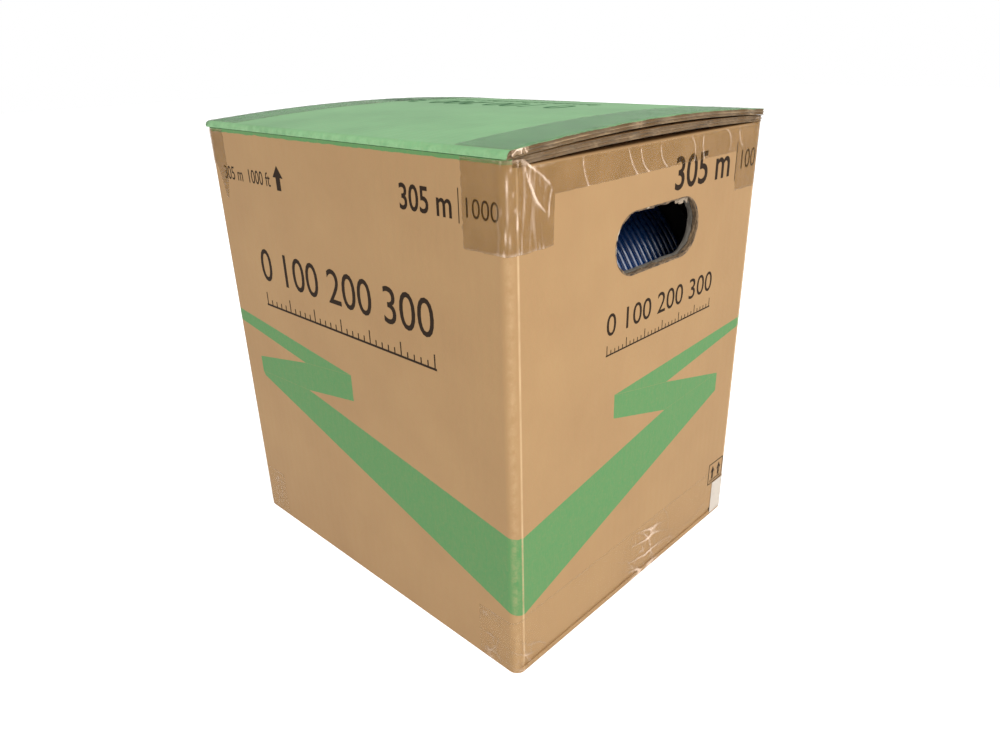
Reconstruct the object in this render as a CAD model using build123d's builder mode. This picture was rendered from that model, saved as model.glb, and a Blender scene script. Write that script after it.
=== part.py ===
"""Reel-in-a-box for network cable: a taped corrugated carton with full-overlap flaps, lined and
braced inside, with a full reel of cable that turns on a fixed axle.

Millimetres, +Z up. The origin is the middle of the underside. The wide printed front faces -Y, and the
ends with the hand holes face +X and -X. The reel's axle runs along Y."""

import os

from build123d import *

os.makedirs("parts", exist_ok=True)

# Carton
carton_length = 305.0  # along X
carton_depth = 265.0  # along Y
carton_height = 330.0  # to the front fold of the top flap
board = 4.0  # corrugated board
fold_radius = 7.0  # outside of the four upright folds
edge_radius = 3.0  # outside of the folds at the flaps
crown = 5.0  # rise of the opening flap in mid depth
under_crown = 3.2  # and of the flap below it
flap_gap = 0.3  # between the opening flap and what it lies on
fit_gap = 0.3  # around boards that are slid in
flap_slack = 0.5  # at the free edge of a flap that ends inside the carton
under_flap_inset = 1.0  # the covered flaps are cut this much shorter at each end
end_flap_reach = 110.0  # from the end wall inwards
glue_tab_width = 33.0
glue_tab_thickness = 3.0

# Hand holes in both ends
hand_hole_width = 93.0
hand_hole_height = 39.0
hand_hole_drop = 66.0  # from the top fold to the middle of the hole
hand_hole_y = 5.0

# Cable outlet in the left end
payout_bore_radius = 12.5
payout_wall = 3.5
payout_lip = 6.0
payout_collar = 2.0
payout_mouth = 1.0  # rounding of both mouths
payout_z = 75.0
payout_clearance = 0.3

# Axle and its bushings
axle_radius = 15.0
axle_wall = 2.0
running_clearance = 0.08
seat_clearance = 0.2
bushing_wall = 15.0
bushing_lip = 8.0
bushing_collar = 2.0
bushing_cap = 0.7
hub_end_gap = 0.5  # between a turning hub and the bushing's collar

# Reel
reel_clearance = 6.5  # to the nearest lining or flap
cable_below_rim = 7.0
winding_gap = 0.3
flange_plate = 4.0
flange_rib = 4.0  # height of ribs and rim on the outer side
flange_rim = 6.0
hub_wall = 9.0
hub_depth = 14.0  # length of the hub inside the plate
hub_proud = 2.0  # the hub stands this much above the ribs
rib_width = 3.0
rib_count = 8
drum_radius = 50.0
drum_wall = 4.0
spigot_wall = 4.0
spigot_length = 10.0
tie_radius = 3.0
tie_clearance = 0.2
thread_clearance = 0.05
tie_count = 4
head_across = 10.0
head_thickness = 3.5
start_hole_length = 14.0
start_hole_width = 7.0
start_hole_offset = 11.0  # from the drum's surface to the middle of the hole

# Packing tape and label
film = 0.2
tape_width = 72.0
tape_on_top = 40.0
tape_on_side = 25.0
corner_wrap = 32.0  # past each upright fold, round onto the front and back
corner_wrap_drop = 54.0
bottom_tape_side = 45.0
bottom_tape_under = 27.0
seam_tape_x = -48.0
seam_tape_on_top = 26.0
seam_tape_on_back = 60.0
seam_tape_under = 60.0
label_width = 22.0  # to each side of the fold it goes round
label_height = 30.0
label_lift = 2.0
label_paper = 0.15

# Places worked out from the sizes above
half_length = carton_length / 2
half_depth = carton_depth / 2
inner_half_length = half_length - board
inner_half_depth = half_depth - board
fold_half_length = half_length - fold_radius
fold_half_depth = half_depth - fold_radius
flap_low = carton_height - board
under_high = flap_low - flap_gap
under_low = under_high - board
end_flap_low = under_low - board
floor_under_low = board
floor_end_low = floor_under_low + board
floor_high = floor_end_low + board
liner_high = end_flap_low - fit_gap
support_face = inner_half_depth - board
liner_face = inner_half_length - board
hand_hole_z = carton_height - hand_hole_drop
support_half_length = min(fold_half_length, inner_half_length - glue_tab_thickness)
payout_barrel_radius = payout_bore_radius + payout_wall
payout_collar_radius = payout_barrel_radius + payout_lip
axle_z = (floor_high + end_flap_low) / 2
bushing_radius = axle_radius + bushing_wall
bushing_collar_radius = bushing_radius + bushing_lip
collar_face = support_face - bushing_collar
bushing_end = support_face + board - seat_clearance
axle_end = bushing_end - bushing_cap - seat_clearance
hub_face = collar_face - hub_end_gap
rib_face = hub_face - hub_proud
plate_outer = rib_face - flange_rib
plate_inner = plate_outer - flange_plate
flange_radius = min(liner_face, (end_flap_low - floor_high) / 2) - reel_clearance
winding_radius = flange_radius - cable_below_rim
drum_bore = drum_radius - drum_wall
spigot_radius = drum_bore - seat_clearance
hub_radius = axle_radius + hub_wall
tie_circle_radius = (hub_radius + spigot_radius - spigot_wall) / 2
start_hole_radius = drum_radius + start_hole_offset
tape_side_high = under_low - edge_radius
tape_side_low = carton_height - tape_on_side


def save(piece, name):
    """Label a finished sub-part and write its STEP file."""
    piece.part.label = name
    export_step(piece.part, f"parts/{name}.step")


def plan_window(x_low, x_high, y_low, y_high, mode=Mode.INTERSECT):
    """A rectangle between these limits, which by default keeps only what lies inside it."""
    with Locations(((x_low + x_high) / 2, (y_low + y_high) / 2)):
        Rectangle(x_high - x_low, y_high - y_low, mode=mode)


def plan_outline(grow=0.0, mode=Mode.ADD):
    """The carton's rounded outline seen from above, grown by an offset."""
    RectangleRounded(carton_length + 2 * grow, carton_depth + 2 * grow, fold_radius + grow, mode=mode)


def wall_band(outer, inner, x_low, x_high, y_low, y_high):
    """A window of the ring between two offsets from the carton's outside."""
    plan_outline(outer)
    plan_outline(inner, Mode.SUBTRACT)
    plan_window(x_low, x_high, y_low, y_high)


def arch_band(low, high, y_low, y_high, rise):
    """The side view of a crowned layer, between two arcs whose ends are at low and high."""
    with BuildLine() as outline:
        ThreePointArc((-half_depth, low), (0, low + rise), (half_depth, low))
        Line((half_depth, low), (half_depth, high))
        ThreePointArc((half_depth, high), (0, high + rise), (-half_depth, high))
        Line((-half_depth, high), (-half_depth, low))
    make_face(outline.edges())
    plan_window(y_low, y_high, low, high + rise)


def board_face(low, high, floor, ceiling):
    """The face of a board that stands upright."""
    plan_window(low, high, floor, ceiling, Mode.ADD)


def hand_hole():
    with Locations((hand_hole_y, hand_hole_z)):
        SlotOverall(hand_hole_width, hand_hole_height, mode=Mode.SUBTRACT)


def payout_hole():
    with Locations((0, payout_z)):
        Circle(payout_barrel_radius + payout_clearance, mode=Mode.SUBTRACT)


def axle_circle(radius, mode=Mode.ADD):
    with Locations((0, axle_z)):
        Circle(radius, mode=mode)


# Carton walls: one folded sheet, parted at the edges of the two ends

with BuildPart() as front_panel:
    with BuildSketch(Plane.XY.offset(floor_end_low)):
        wall_band(0, -board, -half_length, half_length, -half_depth, -fold_half_depth)
    extrude(amount=under_low - floor_end_low)
    with BuildSketch(Plane.XY.offset(floor_under_low)):
        wall_band(0, -board, -half_length, half_length, -half_depth, -inner_half_depth)
    extrude(amount=under_high - floor_under_low)
save(front_panel, "front_panel")

with BuildPart() as back_panel:
    with BuildSketch(Plane.XY.offset(floor_end_low)):
        wall_band(0, -board, -half_length, half_length, fold_half_depth, half_depth)
    extrude(amount=under_low - floor_end_low)
save(back_panel, "back_panel")

with BuildPart() as right_panel:
    with BuildSketch(Plane.YZ.offset(inner_half_length)):
        board_face(-fold_half_depth, fold_half_depth, floor_high, end_flap_low)
        hand_hole()
    extrude(amount=board)
save(right_panel, "right_panel")

with BuildPart() as left_panel:
    with BuildSketch(Plane.YZ.offset(-half_length)):
        board_face(-fold_half_depth, fold_half_depth, floor_high, end_flap_low)
        hand_hole()
        payout_hole()
    extrude(amount=board)
save(left_panel, "left_panel")

with BuildPart() as glue_tab:
    with BuildSketch(Plane.YZ.offset(-inner_half_length)):
        board_face(fold_half_depth - glue_tab_width, fold_half_depth, floor_high, liner_high)
    extrude(amount=glue_tab_thickness)
save(glue_tab, "glue_tab")

# Flaps at the top: the printed one opens, the one below it and the two end flaps stay shut

with BuildPart() as top_flap:
    with BuildSketch(Plane.YZ.offset(-half_length)) as flap_side:
        arch_band(flap_low, carton_height, -half_depth, half_depth, crown)
        fillet(flap_side.vertices().group_by(Axis.X)[0].sort_by(Axis.Y)[-1], edge_radius)
    extrude(amount=carton_length)
    with BuildSketch(Plane.XY.offset(flap_low)):
        plan_outline()
        plan_window(-half_length, half_length, 0, half_depth, Mode.ADD)
    extrude(amount=board + crown, mode=Mode.INTERSECT)
save(top_flap, "top_flap")

with BuildPart() as top_under_flap:
    with BuildSketch(Plane.YZ.offset(under_flap_inset - half_length)):
        arch_band(under_low, under_high, flap_slack - inner_half_depth, half_depth, under_crown)
    extrude(amount=carton_length - 2 * under_flap_inset)
    with BuildSketch(Plane.XY.offset(under_low)):
        plan_outline()
    extrude(amount=board + under_crown, mode=Mode.INTERSECT)
save(top_under_flap, "top_under_flap")

end_half_depth = fold_half_depth - fit_gap
for side, name in ((1, "right"), (-1, "left")):
    x_low = min(side * half_length, side * (half_length - end_flap_reach))

    with BuildPart() as top_end_flap:
        with BuildSketch(Plane.XZ.offset(-end_half_depth)) as end_side:
            plan_window(x_low, x_low + end_flap_reach, end_flap_low, under_low, Mode.ADD)
            upper_corners = end_side.vertices().sort_by(Axis.Y)[-2:]
            fillet(upper_corners.sort_by(Axis.X)[-1 if side > 0 else 0], edge_radius)
        extrude(amount=2 * end_half_depth)
    save(top_end_flap, f"top_end_flap_{name}")

    with BuildPart() as bottom_end_flap:
        with BuildSketch(Plane.XY.offset(floor_end_low)):
            plan_window(x_low, x_low + end_flap_reach, -end_half_depth, end_half_depth, Mode.ADD)
        extrude(amount=board)
    save(bottom_end_flap, f"bottom_end_flap_{name}")

# Flaps at the bottom, with the outer one pressed in where the tape crosses it

with BuildPart() as bottom_flap:
    with BuildSketch():
        plan_outline()
    extrude(amount=board)
    with BuildSketch():
        for side in (1, -1):
            with Locations((side * (half_length - bottom_tape_under / 2), 0)):
                Rectangle(bottom_tape_under, 2 * fold_half_depth)
        with Locations((seam_tape_x, half_depth - seam_tape_under / 2)):
            Rectangle(tape_width, seam_tape_under)
    extrude(amount=film, mode=Mode.SUBTRACT)
save(bottom_flap, "bottom_flap")

with BuildPart() as bottom_under_flap:
    with BuildSketch(Plane.XY.offset(floor_under_low)):
        plan_outline()
        plan_window(
            under_flap_inset - half_length,
            half_length - under_flap_inset,
            flap_slack - inner_half_depth,
            half_depth,
        )
    extrude(amount=board)
save(bottom_under_flap, "bottom_under_flap")

# Boards slid into the carton: a lining at each end, and a support for the axle at front and back

with BuildPart() as end_liner_right:
    with BuildSketch(Plane.YZ.offset(liner_face)):
        board_face(fit_gap - support_face, support_face - fit_gap, floor_high, liner_high)
        hand_hole()
    extrude(amount=board)
save(end_liner_right, "end_liner_right")

with BuildPart() as end_liner_left:
    tab_edge = fold_half_depth - glue_tab_width
    with BuildSketch(Plane.YZ.offset(-inner_half_length)):
        board_face(fit_gap - support_face, tab_edge - fit_gap, floor_high, liner_high)
        hand_hole()
        payout_hole()
    extrude(amount=board)
save(end_liner_left, "end_liner_left")

# On these planes a positive offset and a positive amount both point towards the front
for side, name in ((1, "front"), (-1, "back")):
    with BuildPart() as reel_support:
        with BuildSketch(Plane.XZ.offset(side * support_face)):
            board_face(-support_half_length, support_half_length, floor_high, liner_high)
            axle_circle(bushing_radius, Mode.SUBTRACT)
        extrude(amount=side * board)
    save(reel_support, f"reel_support_{name}")

    with BuildPart() as axle_bushing:
        with BuildSketch(Plane.XZ.offset(side * collar_face)):
            axle_circle(bushing_collar_radius)
        extrude(amount=side * bushing_collar)
        with BuildSketch(Plane.XZ.offset(side * support_face)):
            axle_circle(bushing_radius - seat_clearance)
        extrude(amount=side * (bushing_end - support_face))
        with BuildSketch(Plane.XZ.offset(side * collar_face)):
            axle_circle(axle_radius + running_clearance)
        extrude(amount=side * (bushing_end - bushing_cap - collar_face), mode=Mode.SUBTRACT)
    save(axle_bushing, f"axle_bushing_{name}")

with BuildPart() as axle:
    with BuildSketch(Plane.XZ.offset(-axle_end)):
        axle_circle(axle_radius)
        axle_circle(axle_radius - axle_wall, Mode.SUBTRACT)
    extrude(amount=2 * axle_end)
save(axle, "axle")

with BuildPart() as payout_ring:
    with BuildSketch(Plane.YZ.offset(-half_length)):
        with Locations((0, payout_z)):
            Circle(payout_barrel_radius)
    extrude(amount=2 * board)
    with BuildSketch(Plane.YZ.offset(2 * board - half_length)):
        with Locations((0, payout_z)):
            Circle(payout_collar_radius)
    extrude(amount=payout_collar)
    with BuildSketch(Plane.YZ.offset(-half_length)):
        with Locations((0, payout_z)):
            Circle(payout_bore_radius)
    extrude(amount=2 * board + payout_collar, mode=Mode.SUBTRACT)
    mouths = payout_ring.edges().filter_by(GeomType.CIRCLE).group_by(SortBy.RADIUS)[0]
    fillet(mouths, payout_mouth)
save(payout_ring, "payout_ring")

# Reel: two moulded flanges clamped onto a drum by four tie rods

for side, name in ((1, "front"), (-1, "back")):
    with BuildPart() as reel_flange:
        with BuildSketch(Plane.XZ.offset(side * plate_inner)):
            axle_circle(flange_radius)
        extrude(amount=side * flange_plate)
        with BuildSketch(Plane.XZ.offset(side * plate_outer)):
            axle_circle(flange_radius)
            axle_circle(flange_radius - flange_rim, Mode.SUBTRACT)
            rib_reach = flange_radius - flange_rim / 2 - hub_radius / 2
            with Locations((0, axle_z)):
                with PolarLocations(hub_radius / 2 + rib_reach / 2, rib_count, start_angle=22.5):
                    Rectangle(rib_reach, rib_width)
        extrude(amount=side * flange_rib)
        with BuildSketch(Plane.XZ.offset(side * (plate_inner - hub_depth))):
            axle_circle(hub_radius)
        extrude(amount=side * (hub_face - plate_inner + hub_depth))
        with BuildSketch(Plane.XZ.offset(side * (plate_inner - spigot_length))):
            axle_circle(spigot_radius)
            axle_circle(spigot_radius - spigot_wall, Mode.SUBTRACT)
        extrude(amount=side * spigot_length)
        with BuildSketch(Plane.XZ.offset(side * (plate_inner - hub_depth))):
            axle_circle(axle_radius + running_clearance)
            with Locations((0, axle_z)):
                with PolarLocations(tie_circle_radius, tie_count):
                    Circle(tie_radius + tie_clearance)
        extrude(amount=side * (hub_face - plate_inner + hub_depth), mode=Mode.SUBTRACT)
        if side > 0:
            with BuildSketch(Plane.XZ.offset(plate_inner)):
                with Locations((0, axle_z + start_hole_radius)):
                    SlotOverall(start_hole_length, start_hole_width)
            extrude(amount=flange_plate + flange_rib, mode=Mode.SUBTRACT)
    save(reel_flange, f"reel_flange_{name}")

with BuildPart() as reel_drum:
    with BuildSketch(Plane.XZ.offset(-plate_inner)):
        axle_circle(drum_radius)
        axle_circle(drum_bore, Mode.SUBTRACT)
    extrude(amount=2 * plate_inner)
save(reel_drum, "reel_drum")

with BuildPart() as reel_tie_rods:
    with BuildSketch(Plane.XZ.offset(plate_outer)):
        with Locations((0, axle_z)):
            with PolarLocations(tie_circle_radius, tie_count):
                RegularPolygon(head_across / 2, 6, major_radius=False)
    extrude(amount=head_thickness)
    with BuildSketch(Plane.XZ.offset(-plate_outer - head_thickness)):
        with Locations((0, axle_z)):
            with PolarLocations(tie_circle_radius, tie_count):
                Circle(tie_radius)
    extrude(amount=2 * plate_outer + head_thickness)
save(reel_tie_rods, "reel_tie_rods")

with BuildPart() as reel_tie_nuts:
    with BuildSketch(Plane.XZ.offset(-plate_outer - head_thickness)):
        with Locations((0, axle_z)):
            with PolarLocations(tie_circle_radius, tie_count):
                RegularPolygon(head_across / 2, 6, major_radius=False)
                Circle(tie_radius + thread_clearance, mode=Mode.SUBTRACT)
    extrude(amount=head_thickness)
save(reel_tie_nuts, "reel_tie_nuts")

with BuildPart() as cable_winding:
    with BuildSketch(Plane.XZ.offset(winding_gap - plate_inner)):
        axle_circle(winding_radius)
        axle_circle(drum_radius + winding_gap, Mode.SUBTRACT)
    extrude(amount=2 * (plate_inner - winding_gap))
save(cable_winding, "cable_winding")

# Packing tape: strips on the opening flap, and strips on the walls, slit apart along the flap's edge

for side, name in ((1, "right"), (-1, "left")):
    top_low = min(side * half_length, side * (half_length - tape_on_top))
    wrap_low = min(side * (half_length + film), side * (half_length - corner_wrap))
    wrap_high = wrap_low + corner_wrap + film

    with BuildPart() as tape_top:
        with BuildSketch(Plane.YZ.offset(top_low)):
            arch_band(carton_height, carton_height + film, edge_radius - half_depth, half_depth, crown)
        extrude(amount=tape_on_top)
        with BuildSketch(Plane.XY.offset(carton_height)):
            plan_outline()
            plan_window(-half_length, half_length, 0, half_depth, Mode.ADD)
        extrude(amount=crown + film, mode=Mode.INTERSECT)
    save(tape_top, f"tape_top_{name}")

    with BuildPart() as tape_side:
        with BuildSketch(Plane.XY.offset(tape_side_low)):
            wall_band(film, 0, wrap_low, wrap_high, -half_depth - film, half_depth + film)
        extrude(amount=tape_side_high - tape_side_low)
        for end in (1, -1):
            fold_low = min(end * (half_depth + film), end * (half_depth - corner_wrap))
            with BuildSketch(Plane.XY.offset(carton_height - corner_wrap_drop)):
                wall_band(film, 0, wrap_low, wrap_high, fold_low, fold_low + corner_wrap + film)
            extrude(amount=tape_side_low - carton_height + corner_wrap_drop)
    save(tape_side, f"tape_side_{name}")

    with BuildPart() as tape_bottom:
        with BuildSketch():
            wall_band(film, 0, wrap_low, wrap_high, -half_depth - film, half_depth + film)
        extrude(amount=bottom_tape_side)
        with BuildSketch():
            with Locations((side * (half_length - bottom_tape_under / 2), 0)):
                Rectangle(bottom_tape_under, 2 * fold_half_depth)
        extrude(amount=film)
    save(tape_bottom, f"tape_bottom_{name}")

seam_low = seam_tape_x - tape_width / 2
seam_high = seam_tape_x + tape_width / 2

with BuildPart() as tape_top_back:
    with BuildSketch(Plane.YZ.offset(seam_low)):
        arch_band(carton_height, carton_height + film, half_depth - seam_tape_on_top, half_depth, crown)
    extrude(amount=tape_width)
save(tape_top_back, "tape_top_back")

with BuildPart() as tape_back:
    with BuildSketch(Plane.XY.offset(under_low - seam_tape_on_back)):
        plan_window(seam_low, seam_high, half_depth, half_depth + film, Mode.ADD)
    extrude(amount=seam_tape_on_back)
save(tape_back, "tape_back")

with BuildPart() as tape_bottom_back:
    with BuildSketch():
        plan_window(seam_low, seam_high, half_depth - seam_tape_under, half_depth, Mode.ADD)
    extrude(amount=film)
    with BuildSketch():
        plan_window(seam_low, seam_high, half_depth, half_depth + film, Mode.ADD)
    extrude(amount=seam_tape_on_back)
save(tape_bottom_back, "tape_bottom_back")

with BuildPart() as corner_label:
    with BuildSketch(Plane.XY.offset(label_lift)):
        wall_band(
            film + label_paper,
            film,
            half_length - label_width,
            half_length + film + label_paper,
            half_depth - label_width,
            half_depth + film + label_paper,
        )
    extrude(amount=label_height)
save(corner_label, "corner_label")
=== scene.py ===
import math
import bpy
import numpy as np
from mathutils import Euler, Matrix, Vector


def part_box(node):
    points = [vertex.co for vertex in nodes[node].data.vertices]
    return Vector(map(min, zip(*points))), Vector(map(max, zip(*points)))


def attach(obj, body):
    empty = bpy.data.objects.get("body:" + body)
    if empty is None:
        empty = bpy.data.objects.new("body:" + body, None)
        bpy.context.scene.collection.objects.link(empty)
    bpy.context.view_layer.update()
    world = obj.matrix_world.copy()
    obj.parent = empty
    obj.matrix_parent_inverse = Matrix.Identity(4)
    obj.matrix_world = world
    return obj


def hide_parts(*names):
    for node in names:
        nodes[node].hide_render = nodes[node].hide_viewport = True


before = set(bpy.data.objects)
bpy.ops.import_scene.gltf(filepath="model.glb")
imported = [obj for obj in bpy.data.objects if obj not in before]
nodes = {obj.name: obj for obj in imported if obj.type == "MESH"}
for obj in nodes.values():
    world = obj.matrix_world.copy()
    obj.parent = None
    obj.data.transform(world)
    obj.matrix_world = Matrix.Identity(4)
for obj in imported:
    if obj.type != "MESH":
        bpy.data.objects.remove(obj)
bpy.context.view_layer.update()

mm = 0.001


# Lowest and highest corner of a node, in mm
def boxOf(name):
    low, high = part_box(name)
    return np.array(low) / mm, np.array(high) / mm


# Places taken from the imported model, in mm
flapLow, flapHigh = boxOf("top_flap")
frontLow, frontHigh = boxOf("front_panel")
rightLow, rightHigh = boxOf("right_panel")
underLow, underHigh = boxOf("top_under_flap")
endHigh = boxOf("top_end_flap_right")[1]
halfLength = rightHigh[0]
halfDepth = -frontLow[1]
foldRadius = frontHigh[1] + halfDepth
boardThick = rightHigh[0] - rightLow[0]
crown = flapHigh[2] - flapLow[2] - boardThick
underCrown = underHigh[2] - underLow[2] - boardThick
topFold = flapLow[2] + boardThick
quarter = math.pi / 2 * foldRadius
wallRun = 2 * (halfDepth - foldRadius)
print("frame read", halfLength, halfDepth, topFold, crown)


# Height gained by the bulge: a parabola that is zero at both folds
def rise(y, most=crown):
    return most * (1 - (y / halfDepth) ** 2)


# Sum of sines with seeded directions and phases, about -1 to 1, with features about reach mm long
def waves(seed, *coords, reach=1.0, terms=7):
    rng = np.random.default_rng(seed)
    total = 0
    for k in range(terms):
        direction = rng.normal(size=len(coords))
        direction *= (0.6 + 1.1 * rng.random()) * 2 * math.pi / reach / np.linalg.norm(direction)
        phase = rng.random() * 2 * math.pi
        total = total + np.sin(sum(d * c for d, c in zip(direction, coords)) + phase)
    return total / math.sqrt(terms) / 1.4


# Cubic step from 0 at a to 1 at b
def smooth(a, b, x):
    t = np.clip((x - a) / (b - a), 0, 1)
    return t * t * (3 - 2 * t)


# Smallest of several arrays at each place
def least(*arrays):
    return np.minimum.reduce(np.broadcast_arrays(*arrays))


# Four corners of each cell of a grid of points that is counted row by row
def gridQuads(rows, columns, start=0, flip=False):
    i = np.arange(rows - 1)[:, None]
    j = np.arange(columns - 1)[None, :]
    k = i + 1
    quads = np.stack([i * columns + j, k * columns + j, k * columns + j + 1, i * columns + j + 1], -1)
    quads = quads.reshape(-1, 4) + start
    return quads[:, ::-1] if flip else quads


# Two grids of the same shape, joined round their border; outer faces along row step x column step
def closedSheet(outer, inner):
    rows, columns = outer.shape[:2]
    count = rows * columns
    index = np.arange(count).reshape(rows, columns)
    border = np.concatenate([index[0, :-1], index[:-1, -1], index[-1, :0:-1], index[:0:-1, 0]])
    following = np.roll(border, -1)
    rim = np.stack([border, following, following + count, border + count], -1)
    points = np.concatenate([outer.reshape(-1, 3), inner.reshape(-1, 3)])
    return points, np.concatenate([gridQuads(rows, columns), gridQuads(rows, columns, count, True), rim])


# One object from points in mm and rows of point numbers; values are point attributes by name
def meshPiece(name, points, faces, body, replaces=(), rounded=True, values=None):
    mesh = bpy.data.meshes.new(name)
    mesh.from_pydata((np.asarray(points) * mm).tolist(), [], [list(map(int, f)) for f in faces])
    mesh.polygons.foreach_set("use_smooth", np.full(len(mesh.polygons), rounded))
    for key, numbers in (values or {}).items():
        layer = mesh.attributes.new(key, "FLOAT", "POINT")
        layer.data.foreach_set("value", np.asarray(numbers, dtype=np.float32).ravel())
    mesh.update()
    piece = bpy.data.objects.new(name, mesh)
    bpy.context.collection.objects.link(piece)
    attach(piece, body)
    if replaces:
        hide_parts(*replaces)
    return piece


# A point on the carton's outline and its outward direction. s runs from the middle of a front fold,
# backwards along the end wall where positive and along the front where negative.
def outline(s, side=1):
    u = np.asarray(s) + quarter / 2
    w = u - quarter
    v = w - wallRun
    x0, y0 = halfLength - foldRadius, -(halfDepth - foldRadius)
    a = np.clip(u, 0, quarter) / foldRadius - math.pi / 2
    b = np.clip(v, 0, quarter) / foldRadius
    where = [u < 0, w < 0, v < 0, v < quarter]
    xFront, xBack = x0 + foldRadius * np.cos(a), x0 + foldRadius * np.cos(b)
    yFront, yBack = y0 + foldRadius * np.sin(a), -y0 + foldRadius * np.sin(b)
    x = np.select(where, [x0 + u, xFront, halfLength + 0 * u, xBack], x0 - (v - quarter))
    y = np.select(where, [-halfDepth + 0 * u, yFront, y0 + w, yBack], halfDepth)
    nx = np.select(where, [0 * u, np.cos(a), 1 + 0 * u, np.cos(b)], 0)
    ny = np.select(where, [-1 + 0 * u, np.sin(a), 0 * u, np.sin(b)], 1)
    return side * x, y, side * nx, ny


# Short calls for building one node tree
class Tree:
    def __init__(self, tree):
        self.tree = tree

    def node(self, kind, **settings):
        made = self.tree.nodes.new(kind)
        for key, value in settings.items():
            setattr(made, key, value)
        return made

    def put(self, value, socket):
        if isinstance(value, bpy.types.NodeSocket):
            self.tree.links.new(value, socket)
        elif value is not None:
            socket.default_value = value

    def math(self, operation, a, b=None, c=None, clamp=False):
        made = self.node("ShaderNodeMath", operation=operation, use_clamp=clamp)
        for value, socket in zip((a, b, c), made.inputs):
            self.put(value, socket)
        return made.outputs[0]

    def mix(self, factor, a, b):
        made = self.node("ShaderNodeMix", data_type="RGBA")
        self.put(factor, made.inputs[0])
        self.put(a, made.inputs[6])
        self.put(b, made.inputs[7])
        return made.outputs[2]

    def noise(self, vector, scale, detail=3.0, roughness=0.55):
        made = self.node("ShaderNodeTexNoise")
        self.put(vector, made.inputs["Vector"])
        for key, value in (("Scale", scale), ("Detail", detail), ("Roughness", roughness)):
            self.put(value, made.inputs[key])
        return made.outputs[0]

    def spread(self, value, low, high, toLow=0.0, toHigh=1.0):
        made = self.node("ShaderNodeMapRange")
        for number, socket in zip((value, low, high, toLow, toHigh), made.inputs):
            self.put(number, socket)
        return made.outputs[0]

    def place(self):
        return self.node("ShaderNodeTexCoord").outputs["Object"]

    def stretched(self, vector, scale):
        made = self.node("ShaderNodeMapping")
        self.put(vector, made.inputs["Vector"])
        made.inputs["Scale"].default_value = scale
        return made.outputs[0]

    def axes(self, vector):
        made = self.node("ShaderNodeSeparateXYZ")
        self.put(vector, made.inputs[0])
        return made.outputs[0], made.outputs[1], made.outputs[2]

    def attribute(self, name):
        return self.node("ShaderNodeAttribute", attribute_name=name).outputs["Fac"]

    def bump(self, height, distance, strength=1.0):
        made = self.node("ShaderNodeBump")
        made.inputs["Distance"].default_value = distance
        made.inputs["Strength"].default_value = strength
        self.put(height, made.inputs["Height"])
        return made.outputs[0]

    def group(self, group, **values):
        made = self.node("ShaderNodeGroup", node_tree=group)
        for key, value in values.items():
            self.put(value, made.inputs[key])
        return made.outputs


# A node group with named inputs (label, kind, value) and outputs (label, kind)
def newGroup(name, inputs, outputs):
    group = bpy.data.node_groups.new(name, "ShaderNodeTree")
    for label, kind, value in inputs:
        socket = group.interface.new_socket(label, in_out="INPUT", socket_type=kind)
        if value is not None:
            socket.default_value = value
    for label, kind in outputs:
        group.interface.new_socket(label, in_out="OUTPUT", socket_type=kind)
    tree = Tree(group)
    return group, tree, tree.node("NodeGroupInput").outputs, tree.node("NodeGroupOutput").inputs


# A material with its tree and the sockets of its one shader
def newMaterial(name, roughness, **shader):
    material = bpy.data.materials.new(name)
    material.use_nodes = True
    tree = Tree(material.node_tree)
    principled = next(n for n in material.node_tree.nodes if n.type == "BSDF_PRINCIPLED")
    principled.inputs["Roughness"].default_value = roughness
    for key, value in shader.items():
        principled.inputs[key].default_value = value
    return material, tree, principled.inputs


# A display colour of 0 to 255 as a linear one
def linear(r, g, b):
    c = np.array([r, g, b]) / 255
    c = np.where(c < 0.04045, c / 12.92, ((c + 0.055) / 1.055) ** 2.4)
    return (*c.tolist(), 1.0)


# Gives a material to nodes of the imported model
def paint(material, *names):
    for name in names:
        mesh = nodes[name].data
        mesh.materials.clear()
        mesh.materials.append(material)


# Gives a material to a piece made here
def dress(piece, material):
    piece.data.materials.clear()
    piece.data.materials.append(material)
    return piece


# Paper: cloudy tone, short fibres, and the shallow washboard of the flutes below the liner
paperGroup, t, gin, gout = newGroup(
    "paperSurface",
    [("Vector", "NodeSocketVector", None), ("Flute", "NodeSocketFloat", 0.0),
     ("Pitch", "NodeSocketFloat", 7.6)],
    [("Cloud", "NodeSocketFloat"), ("Fibre", "NodeSocketFloat"), ("Height", "NodeSocketFloat")],
)
cloud = t.noise(gin["Vector"], 16.0, 4.0, 0.6)
fine = t.noise(gin["Vector"], 420.0, 3.0, 0.6)
spots = t.spread(t.noise(gin["Vector"], 620.0, 2.0, 0.7), 0.56, 0.74)
strands = t.noise(t.stretched(gin["Vector"], (1.0, 1.0, 0.18)), 900.0, 2.0, 0.5)
ridge = t.math("SINE", t.math("DIVIDE", gin["Flute"], t.math("DIVIDE", gin["Pitch"], 2 * math.pi)))
uneven = t.noise(gin["Vector"], 30.0, 2.0)
t.put(t.spread(cloud, 0.3, 0.7), gout["Cloud"])
speckle = t.math("ADD", t.math("MULTIPLY", fine, 0.45), t.math("MULTIPLY", strands, 0.45))
t.put(t.math("ADD", speckle, t.math("MULTIPLY", spots, 0.3)), gout["Fibre"])
washboard = t.math("MULTIPLY", t.math("MULTIPLY", ridge, uneven), 0.3)
height = t.math("ADD", washboard, t.math("MULTIPLY", fine, 0.35))
t.put(t.math("ADD", height, t.math("MULTIPLY", strands, 0.3)), gout["Height"])

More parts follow.
